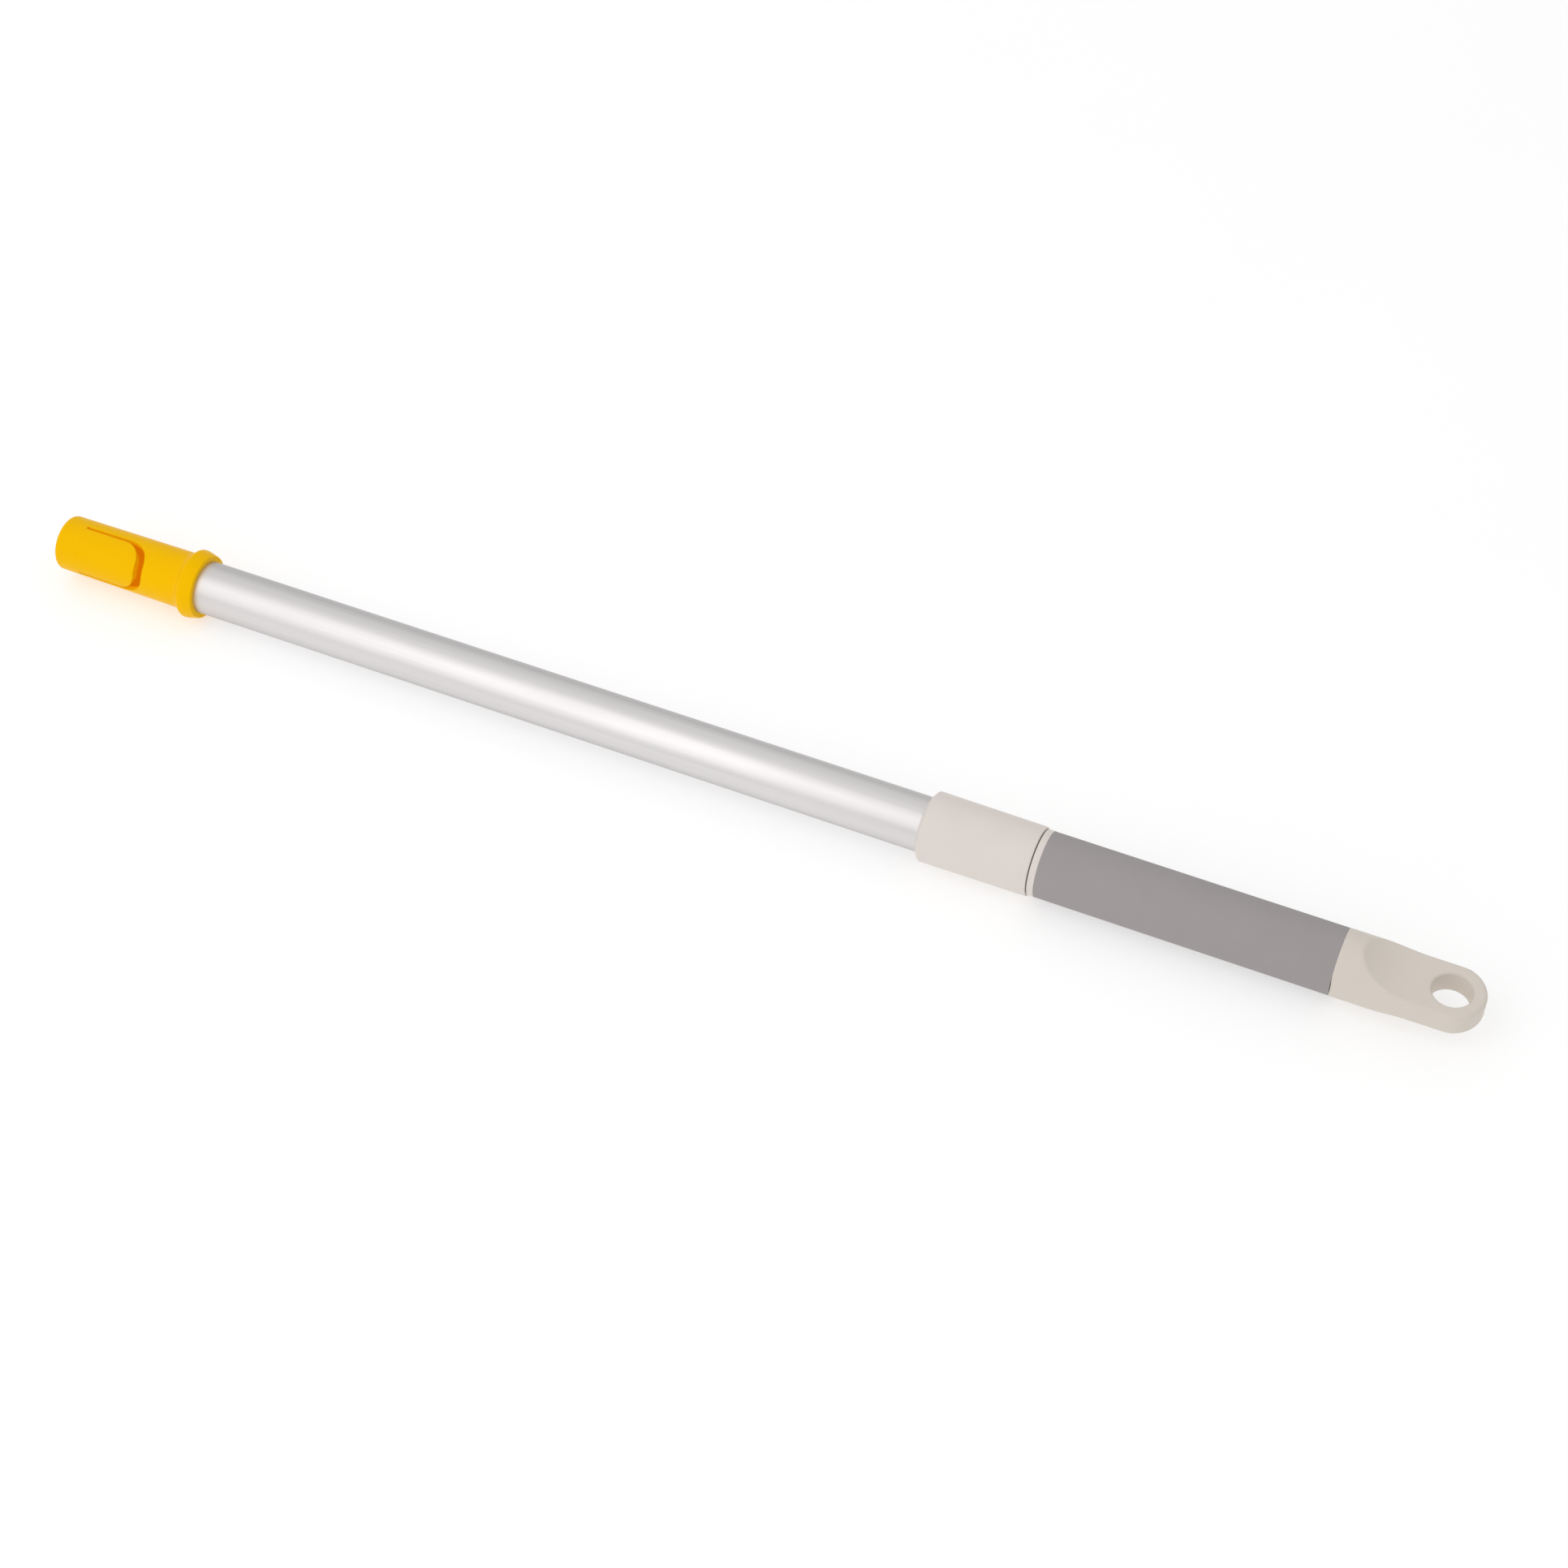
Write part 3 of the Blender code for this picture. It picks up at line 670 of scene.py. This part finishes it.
def yellow_plastic():
    """The connector's plastic, with painted light: its surfaces inside the hollow plug glow orange, in
    place of light bounced about inside it.
    """
    made = moulded_plastic(
        "yellow_plastic",
        YELLOW,
        YELLOW_ROUGHNESS,
        YELLOW_GRAIN,
        Specular_Tint=YELLOW_GLOSS,
        Specular_IOR_Level=YELLOW_SPECULAR,
    )
    split = made.add("ShaderNodeSeparateXYZ")
    made.link(made.place, split.inputs["Vector"])
    height = made.maths("SUBTRACT", split.outputs["Z"], AXIS_Z)
    across = made.maths("MULTIPLY", split.outputs["Y"], split.outputs["Y"])
    upward = made.maths("MULTIPLY", height, height)
    rho = made.maths("SQRT", made.maths("ADD", across, upward))
    # Painted light: surfaces nearer the axis than the plug's wall, past the tip's wall, glow orange
    inside = made.spread(rho, 1.0, 0.0, from_low=INSIDE_PAINTED_LIGHT_FULL_R, from_high=INSIDE_PAINTED_LIGHT_EDGE_R)
    past_tip = made.maths("GREATER_THAN", split.outputs["X"], TIP_X + TIP_WALL / 2.0)
    inside_painted_light = made.maths("MULTIPLY", made.maths("MULTIPLY", inside, past_tip), INSIDE_PAINTED_LIGHT)
    made.link(inside_painted_light, made.shader.inputs["Emission Strength"])
    made.shader.inputs["Emission Color"].default_value = INSIDE_PAINTED_LIGHT_COLOUR
    return made.material


def anodised_tube(name, colour, roughness):
    """Satin anodised aluminium: fine drawing lines along the tube and a cloudy tone."""
    made = Nodes(name, colour, roughness, metallic=1.0, Specular_Tint=ANODISED_EDGE)
    lines = made.noise(900.0, detail=4.0, stretch=(0.012, 1.0, 1.0))
    cloud = made.noise(45.0, detail=3.0, stretch=(0.25, 1.0, 1.0))
    made.tint(lines, *shades(colour, 0.025))
    made.roughness(cloud, roughness - 0.03, roughness + 0.04)
    pits = made.noise(4200.0, detail=2.0)
    made.bump([(lines, 0.0022 * MM), (pits, 0.0012 * MM)])
    return made.material


def soft_grip(name, colour, roughness):
    """Soft-touch rubber: a dense fine stipple under a dull surface."""
    made = Nodes(name, colour, roughness, Specular_IOR_Level=0.3)
    made.tint(made.noise(70.0, detail=5.0), *shades(colour, 0.012))
    made.roughness(made.noise(1500.0, detail=2.0), roughness - 0.05, roughness + 0.05)
    stipple = made.add("ShaderNodeTexVoronoi", feature="SMOOTH_F1")
    stipple.inputs["Scale"].default_value = 3200.0
    made.link(made.place, stipple.inputs["Vector"])
    fine = made.noise(6500.0, detail=2.0)
    made.bump([(stipple.outputs["Distance"], 0.012 * MM), (fine, 0.006 * MM)])
    return made.material


def plain_steel(name, colour, roughness):
    """Zinc-plated steel: small crystals in tone and roughness."""
    made = Nodes(name, colour, roughness, metallic=1.0)
    made.tint(made.noise(1800.0, detail=3.0), *shades(colour, 0.08))
    made.roughness(made.noise(2600.0, detail=2.0), roughness - 0.06, roughness + 0.08)
    made.bump([(made.noise(5200.0, detail=2.0), 0.003 * MM)])
    return made.material


def floor_material():
    """A white table lit a little from below, which keeps the shadows on it faint."""
    made = Nodes(
        "floor_table", FLOOR_COLOUR, 0.8, Emission_Strength=FLOOR_GLOW, Specular_IOR_Level=0.1
    )
    made.shader.inputs["Emission Color"].default_value = (1.0, 1.0, 1.0, 1.0)
    made.tint(made.noise(8.0, detail=3.0), *shades(FLOOR_COLOUR, 0.004))
    return made.material


def make_materials():
    return {
        "yellow": yellow_plastic(),
        "cap": off_white_plastic("cap_plastic_tone_and_shade", CAP_TONE_AND_SHADE),
        "off_white": off_white_plastic("off_white_plastic", OFF_WHITE),
        "dark": moulded_plastic("dark_plastic", DARK, 0.5, 0.005 * MM).material,
        "natural": moulded_plastic("natural_plastic", NATURAL, 0.4, 0.003 * MM).material,
        "outer_tube": anodised_tube(
            "outer_tube_aluminium", OUTER_TUBE_COLOUR, OUTER_TUBE_ROUGHNESS
        ),
        "inner_tube": anodised_tube(
            "inner_tube_aluminium", INNER_TUBE_COLOUR, INNER_TUBE_ROUGHNESS
        ),
        "grip": soft_grip("grey_grip", GRIP_COLOUR, GRIP_ROUGHNESS),
        "steel": plain_steel("steel_pins", STEEL, 0.32),
    }


# ---------------------------------------------------------------- pieces


def place(piece, body, node, finish):
    """Puts a finished piece on its CAD body in place of its CAD node."""
    piece.data.materials.append(finish)
    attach(piece, body)
    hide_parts(node)


def make_connector(finish):
    reach = FLANGE_R + GRID_MARGIN * CONNECTOR_CELL
    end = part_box("connector_body")[1].x
    low = (TIP_X - GRID_MARGIN * CONNECTOR_CELL, -reach, AXIS_Z - reach)
    high = (end + GRID_MARGIN * CONNECTOR_CELL, reach, AXIS_Z + reach)
    body = moulded_piece("connector", connector_distance, low, high, CONNECTOR_CELL)
    place(body, "pole", "connector_body", finish)


def make_tongue(finish):
    reach = PLUG_ROOT_R + GRID_MARGIN * TONGUE_CELL
    low = (TIP_X + SLOT_START - GRID_MARGIN * TONGUE_CELL, -reach, AXIS_Z - reach)
    high = (TIP_X + TONGUE_END + GRID_MARGIN * TONGUE_CELL, reach, AXIS_Z + reach)
    tongue = moulded_piece("latch_tongue", tongue_distance, low, high, TONGUE_CELL)
    tongue.data.materials.append(finish)
    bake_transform(tongue)
    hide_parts("connector_tongue")


def make_collar(finish):
    low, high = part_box("lock_collar")
    radius = turned_radius("lock_collar")
    collar = turned_piece(
        "twist_collar",
        [
            (low.x + COLLAR_LIP, COLLAR_LIP_BORE_R, 0.0),
            (low.x + COLLAR_LIP, COLLAR_BORE_R, 0.0),
            (high.x, COLLAR_BORE_R, COLLAR_EDGE),
            (high.x, radius - COLLAR_TAPER, COLLAR_BACK_CORNER),
            (low.x + COLLAR_CHAMFER, radius, COLLAR_CHAMFER_CORNER),
            (low.x, radius - COLLAR_CHAMFER_DEPTH, COLLAR_EDGE),
            (low.x, COLLAR_LIP_BORE_R, COLLAR_EDGE),
        ],
    )
    place(collar, "collar", "lock_collar", finish)


def make_handle_core(finish):
    low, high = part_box("handle_core")
    radius = turned_radius("handle_core")
    ring_end = low.x + RING_LENGTH
    core = turned_piece(
        "handle_core_fine",
        [
            (high.x, CORE_BORE_R, RING_CORNER),
            (high.x, CORE_R, RING_CORNER),
            (ring_end, CORE_R, 0.0),
            (ring_end, radius, SEAM_CORNER),
            (low.x, radius, RING_CORNER),
            (low.x, CORE_BORE_R, RING_CORNER),
        ],
    )
    place(core, "handle", "handle_core", finish)


def make_grip(finish):
    """The grip, pushed up against the core's ring at one end and the cap at the other."""
    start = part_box("handle_core")[0].x + RING_LENGTH
    end = END_X - CAP_START_FROM_END
    radius = turned_radius("grip_sleeve")
    grip = turned_piece(
        "soft_grip",
        [
            (end, GRIP_BORE_R, 0.0),
            (end, radius, SEAM_CORNER),
            (start, radius, SEAM_CORNER),
            (start, GRIP_BORE_R, 0.0),
        ],
    )
    place(grip, "handle", "grip_sleeve", finish)


def make_end_cap(finish):
    reach = CAP_R + GRID_MARGIN * CAP_CELL
    low = (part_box("end_cap")[0].x - GRID_MARGIN * CAP_CELL, -reach, AXIS_Z - reach)
    high = (END_X + GRID_MARGIN * CAP_CELL, reach, AXIS_Z + reach)
    cap = moulded_piece("hang_cap", cap_distance, low, high, CAP_CELL)
    place(cap, "handle", "end_cap", finish)


def make_tubes(materials):
    outer = tube_piece("outer_tube_fine", "outer_tube", OUTER_WALL)
    place(outer, "pole", "outer_tube", materials["outer_tube"])
    inner = tube_piece("inner_tube_fine", "inner_tube", INNER_WALL)
    place(inner, "handle", "inner_tube", materials["inner_tube"])


def finish_cad_nodes(materials):
    """Materials for the small CAD nodes that keep their own shape."""
    finishes = {
        "connector_pin": "steel",
        "lock_bush": "dark",
        "bush_pin_front": "steel",
        "bush_pin_back": "steel",
        "guide_bush": "natural",
        "clamp_collet": "natural",
        "collar_end_ring": "dark",
        "glide_ring": "natural",
        "tube_plug": "dark",
        "plug_pin": "steel",
        "core_pin": "steel",
        "cap_pin": "steel",
    }
    for node, finish in finishes.items():
        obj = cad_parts[node]
        obj.data.materials.clear()
        obj.data.materials.append(materials[finish])


# ---------------------------------------------------------------- stage, light and camera


def make_floor():
    bpy.ops.mesh.primitive_plane_add(size=FLOOR_SIZE, location=(0.0, 0.0, 0.0))
    floor = bpy.context.object
    floor.name = "floor"
    floor.data.materials.append(floor_material())


def area_light(name, direction, distance, size, power, aim):
    """A rectangular softbox that looks at aim from a direction."""
    data = bpy.data.lights.new(name, "AREA")
    data.shape = "RECTANGLE"
    data.size, data.size_y = size
    data.energy = power
    light = bpy.data.objects.new(name, data)
    bpy.context.scene.collection.objects.link(light)
    back = Vector(direction).normalized()
    light.location = aim + back * distance
    light.rotation_mode = "QUATERNION"
    light.rotation_quaternion = (-back).to_track_quat("-Z", "Y")


def make_world():
    """A white tent, dimmer towards the horizon than overhead."""
    world = bpy.data.worlds.new("studio")
    bpy.context.scene.world = world
    world.use_nodes = True
    nodes, links = world.node_tree.nodes, world.node_tree.links
    background = nodes["Background"]
    background.inputs["Color"].default_value = (1.0, 1.0, 1.0, 1.0)
    direction = nodes.new("ShaderNodeTexCoord").outputs["Generated"]
    split = nodes.new("ShaderNodeSeparateXYZ")
    rise = nodes.new("ShaderNodeMapRange")
    rise.inputs["From Max"].default_value = TENT_FULL_HEIGHT
    rise.inputs["To Min"].default_value = TENT_HORIZON
    rise.inputs["To Max"].default_value = TENT_OVERHEAD
    links.new(direction, split.inputs["Vector"])
    links.new(split.outputs["Z"], rise.inputs["Value"])
    links.new(rise.outputs["Result"], background.inputs["Strength"])


def make_lights():
    make_world()
    aim = Vector((KEY_PAST_MIDDLE, 0.0, AXIS_Z))
    front = Vector((0.0, -math.cos(KEY_ELEVATION), math.sin(KEY_ELEVATION)))
    area_light("key", front, KEY_DISTANCE, KEY_SIZE, KEY_POWER, aim)


def make_camera():
    data = bpy.data.cameras.new("camera")
    data.lens = CAMERA_LENS_MM
    data.sensor_width = CAMERA_SENSOR_MM
    data.clip_start = 0.01
    data.clip_end = 50.0
    camera = bpy.data.objects.new("camera", data)
    bpy.context.scene.collection.objects.link(camera)
    flat = math.cos(CAMERA_ELEVATION)
    forward = Vector(
        (
            -math.sin(CAMERA_AZIMUTH) * flat,
            math.cos(CAMERA_AZIMUTH) * flat,
            -math.sin(CAMERA_ELEVATION),
        )
    )
    right = Vector((math.cos(CAMERA_AZIMUTH), math.sin(CAMERA_AZIMUTH), 0.0))
    up = right.cross(forward)
    aim = Vector((AIM_PAST_MIDDLE, 0.0, AXIS_Z)) - up * AIM_BELOW_AXIS
    camera.location = aim - forward * CAMERA_DISTANCE
    camera.rotation_mode = "QUATERNION"
    camera.rotation_quaternion = forward.to_track_quat("-Z", "Y")
    bpy.context.scene.camera = camera


def set_view():
    """Shows colours as they are lit, without a film curve."""
    bpy.context.scene.view_settings.view_transform = "Standard"
    bpy.context.scene.view_settings.look = "None"


def main():
    make_camera()
    set_view()
    make_floor()
    make_lights()
    materials = make_materials()
    make_connector(materials["yellow"])
    make_tongue(materials["yellow"])
    make_tubes(materials)
    make_collar(materials["off_white"])
    make_handle_core(materials["off_white"])
    make_grip(materials["grip"])
    make_end_cap(materials["cap"])
    finish_cad_nodes(materials)


main()
